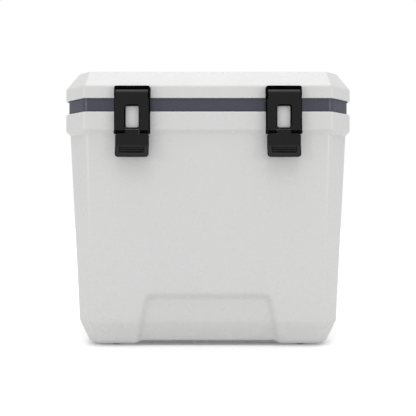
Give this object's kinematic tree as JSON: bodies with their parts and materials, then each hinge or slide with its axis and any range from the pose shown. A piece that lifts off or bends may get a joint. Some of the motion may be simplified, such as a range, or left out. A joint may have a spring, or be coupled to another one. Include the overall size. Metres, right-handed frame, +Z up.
{
  "type": "cooler chest",
  "caption": "Hard-sided insulated cooler chest with a hinged lid, front draw latches, side hand-holds, a screw drain plug and rubber feet.",
  "frame": {"origin": "on the floor under the middle of the chest, level with the undersides of the feet", "axes": "+Z up; -Y is the front, where the latches are; +X is the right-hand side seen from the front, where the drain is"},
  "size_m": [0.483, 0.438, 0.4635],
  "materials": {
    "white_shell": "satin",
    "slate_band": "satin",
    "liner_white": "satin",
    "insulation": "matte",
    "latch_black": "satin",
    "latch_bracket": "matte",
    "black_fitting": "satin",
    "seal_rubber": "matte",
    "foot_rubber": "matte",
    "stainless_steel": "satin"
  },
  "bodies": {
    "chest": {"body_shell": "white_shell", "body_foam": "insulation", "body_liner": "liner_white", "foot_front_left": "foot_rubber", "foot_front_right": "foot_rubber", "foot_rear_left": "foot_rubber", "foot_rear_right": "foot_rubber", "drain_bushing": "black_fitting", "drain_washer": "seal_rubber", "drain_nut": "black_fitting", "hinge_left_body_leaf": "black_fitting", "hinge_left_pin": "stainless_steel", "hinge_left_body_screw_a": "stainless_steel", "hinge_left_body_screw_b": "stainless_steel", "hinge_right_body_leaf": "black_fitting", "hinge_right_pin": "stainless_steel", "hinge_right_body_screw_a": "stainless_steel", "hinge_right_body_screw_b": "stainless_steel"},
    "lid": {"lid_cover": "white_shell", "lid_liner": "slate_band", "lid_foam": "insulation", "lid_gasket": "seal_rubber", "hinge_left_lid_leaf": "black_fitting", "latch_left_bracket": "latch_bracket", "latch_left_hanger_pin": "stainless_steel", "hinge_left_lid_screw_a": "stainless_steel", "latch_left_bracket_screw_a": "stainless_steel", "hinge_left_lid_screw_b": "stainless_steel", "latch_left_bracket_screw_b": "stainless_steel", "hinge_right_lid_leaf": "black_fitting", "latch_right_bracket": "latch_bracket", "latch_right_hanger_pin": "stainless_steel", "hinge_right_lid_screw_a": "stainless_steel", "latch_right_bracket_screw_a": "stainless_steel", "hinge_right_lid_screw_b": "stainless_steel", "latch_right_bracket_screw_b": "stainless_steel"},
    "left_latch_frame": {"latch_left_frame": "latch_black", "latch_left_lever_pin": "latch_bracket"},
    "left_latch_lever": {"latch_left_lever": "latch_black"},
    "right_latch_frame": {"latch_right_frame": "latch_black", "latch_right_lever_pin": "latch_bracket"},
    "right_latch_lever": {"latch_right_lever": "latch_black"},
    "drain_seal": {"drain_plug_seal": "seal_rubber"},
    "drain_plug": {"drain_plug": "black_fitting"}
  },
  "joints": [
    {"name": "lid_hinge", "type": "hinge", "parent": "chest", "child": "lid", "pos_m": [0, 0.2115, 0.404], "axis": [-1, 0, 0], "range_deg": [0, 100]},
    {"name": "left_latch_swing", "type": "hinge", "parent": "lid", "child": "left_latch_frame", "pos_m": [-0.1235, -0.206, 0.42], "axis": [-1, 0, 0], "range_deg": [0, 90]},
    {"name": "left_latch_lever_turn", "type": "hinge", "parent": "left_latch_frame", "child": "left_latch_lever", "pos_m": [-0.1235, -0.2103, 0.358], "axis": [-1, 0, 0], "range_deg": [0, 90]},
    {"name": "right_latch_swing", "type": "hinge", "parent": "lid", "child": "right_latch_frame", "pos_m": [0.1235, -0.206, 0.42], "axis": [-1, 0, 0], "range_deg": [0, 90]},
    {"name": "right_latch_lever_turn", "type": "hinge", "parent": "right_latch_frame", "child": "right_latch_lever", "pos_m": [0.1235, -0.2103, 0.358], "axis": [-1, 0, 0], "range_deg": [0, 90]},
    {"name": "drain_plug_travel", "type": "slide", "parent": "chest", "child": "drain_seal", "axis": [1, 0, 0], "range_m": [0, 0.009]},
    {"name": "drain_plug_turn", "type": "hinge", "parent": "drain_seal", "child": "drain_plug", "pos_m": [0.21, 0, 0.06], "axis": [1, 0, 0], "range_deg": [0, 1080]}
  ],
  "couplings": [
    {"joint": "drain_plug_travel", "follows": "drain_plug_turn", "m_per_rad": 0.000477}
  ]
}
